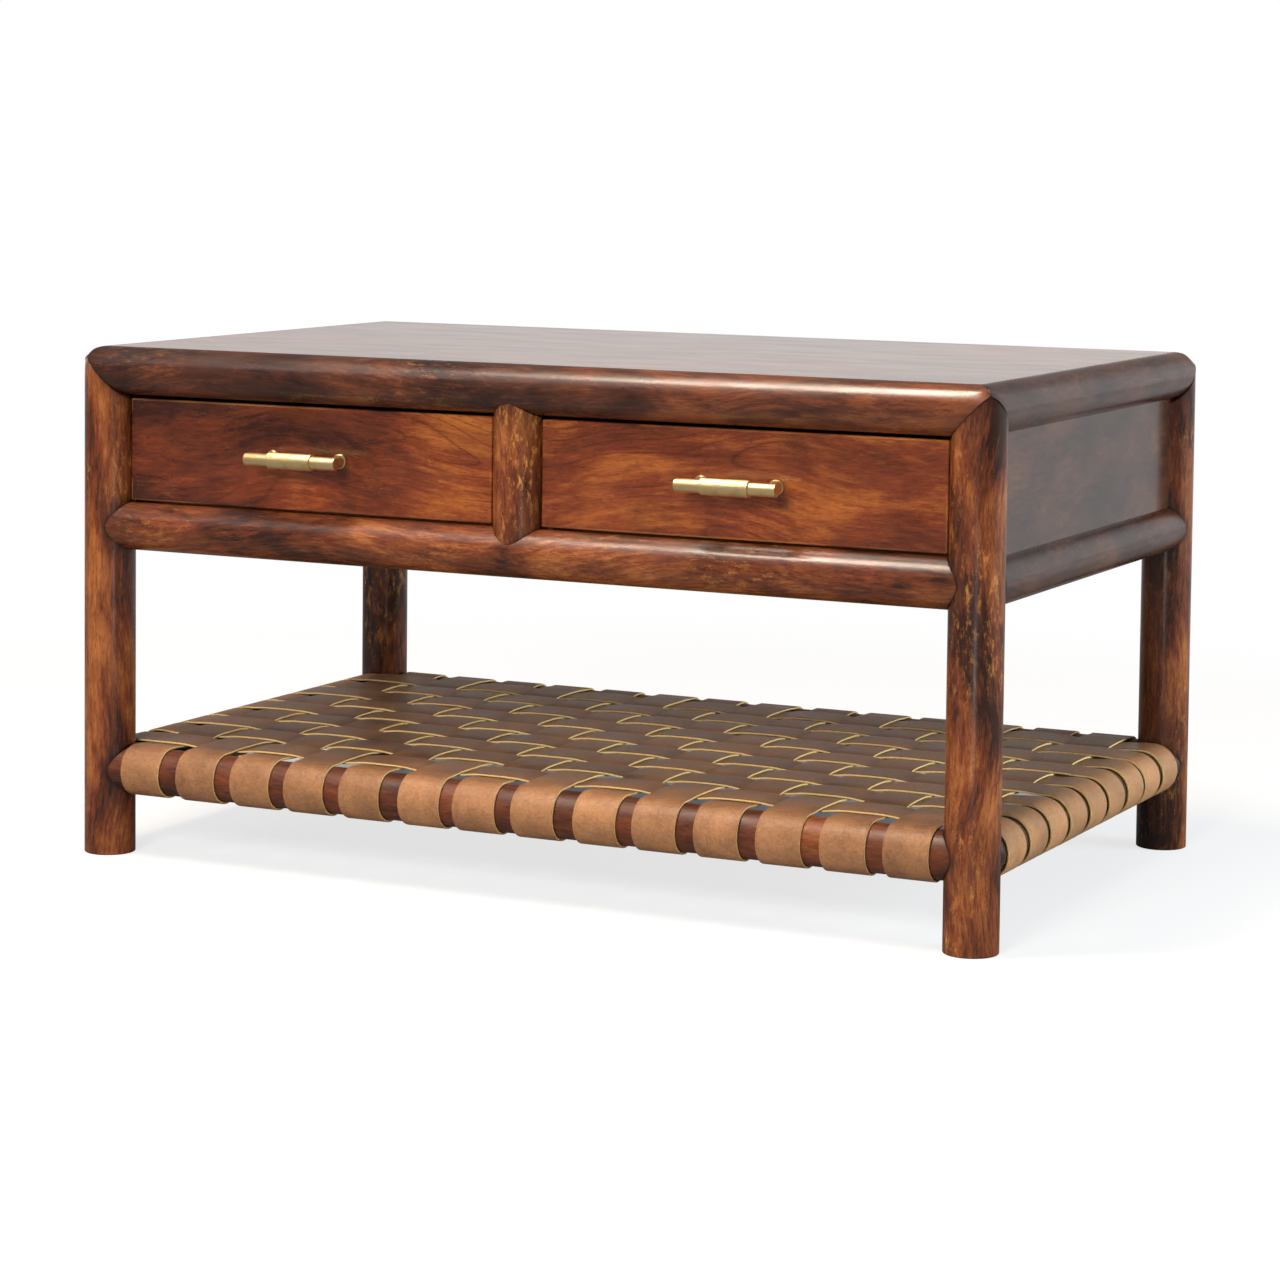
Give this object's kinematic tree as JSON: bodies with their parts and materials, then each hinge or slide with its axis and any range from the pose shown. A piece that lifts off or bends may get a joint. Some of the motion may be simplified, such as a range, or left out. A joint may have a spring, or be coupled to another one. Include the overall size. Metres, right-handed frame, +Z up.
{
  "type": "coffee table",
  "caption": "Low rectangular coffee table of round dark wood members, with drawers under a flush top and an open shelf of woven leather straps.",
  "frame": {"origin": "on the floor, at the middle of the whole outline with the handles", "axes": "+X to the right along the front, +Y from the drawer fronts to the back, +Z up"},
  "size_m": [0.9, 0.5645, 0.47],
  "materials": {
    "frame_wood": "dark red-brown stained hardwood, glossy lacquer, slightly worn",
    "front_wood": "figured red-brown stained hardwood, glossy lacquer",
    "plain_wood": "plain sanded hardwood, waxed",
    "leather": "tan smooth strap leather with raw cut edges",
    "brass": "satin brass, knurled grip",
    "steel": "plain steel fasteners"
  },
  "bodies": {
    "table_frame": {"apron_rail_back": "frame_wood", "apron_rail_front": "frame_wood", "apron_rail_left": "frame_wood", "apron_rail_right": "frame_wood", "back_panel": "frame_wood", "centre_partition": "plain_wood", "cross_straps_even": "leather", "cross_straps_odd": "leather", "drawer_stops": "plain_wood", "frame_dowels": "plain_wood", "front_divider": "frame_wood", "long_strap_1": "leather", "long_strap_2": "leather", "long_strap_3": "leather", "long_strap_4": "leather", "long_strap_5": "leather", "long_strap_6": "leather", "long_strap_7": "leather", "long_strap_8": "leather", "long_strap_9": "leather", "post_back_left": "frame_wood", "post_back_right": "frame_wood", "post_front_left": "frame_wood", "post_front_right": "frame_wood", "runner_left_inner": "plain_wood", "runner_left_outer": "plain_wood", "runner_right_inner": "plain_wood", "runner_right_outer": "plain_wood", "runner_screws": "steel", "shelf_rail_back": "frame_wood", "shelf_rail_front": "frame_wood", "shelf_rail_left": "frame_wood", "shelf_rail_right": "frame_wood", "side_panel_left": "frame_wood", "side_panel_right": "frame_wood", "strap_tacks": "steel", "top_panel": "frame_wood", "top_rail_back": "frame_wood", "top_rail_front": "frame_wood", "top_rail_left": "frame_wood", "top_rail_right": "frame_wood"},
    "left_drawer": {"left_drawer_back": "plain_wood", "left_drawer_bottom": "plain_wood", "left_drawer_front": "front_wood", "left_drawer_side_left": "plain_wood", "left_drawer_side_right": "plain_wood", "left_handle_bar": "brass", "left_handle_grip": "brass", "left_handle_screws": "steel", "left_handle_standoffs": "brass"},
    "right_drawer": {"right_drawer_back": "plain_wood", "right_drawer_bottom": "plain_wood", "right_drawer_front": "front_wood", "right_drawer_side_left": "plain_wood", "right_drawer_side_right": "plain_wood", "right_handle_bar": "brass", "right_handle_grip": "brass", "right_handle_screws": "steel", "right_handle_standoffs": "brass"}
  },
  "joints": [
    {"name": "left_drawer_slide", "type": "slide", "parent": "table_frame", "child": "left_drawer", "axis": [0, -1, 0], "range_m": [0, 0.32]},
    {"name": "right_drawer_slide", "type": "slide", "parent": "table_frame", "child": "right_drawer", "axis": [0, -1, 0], "range_m": [0, 0.32]}
  ]
}
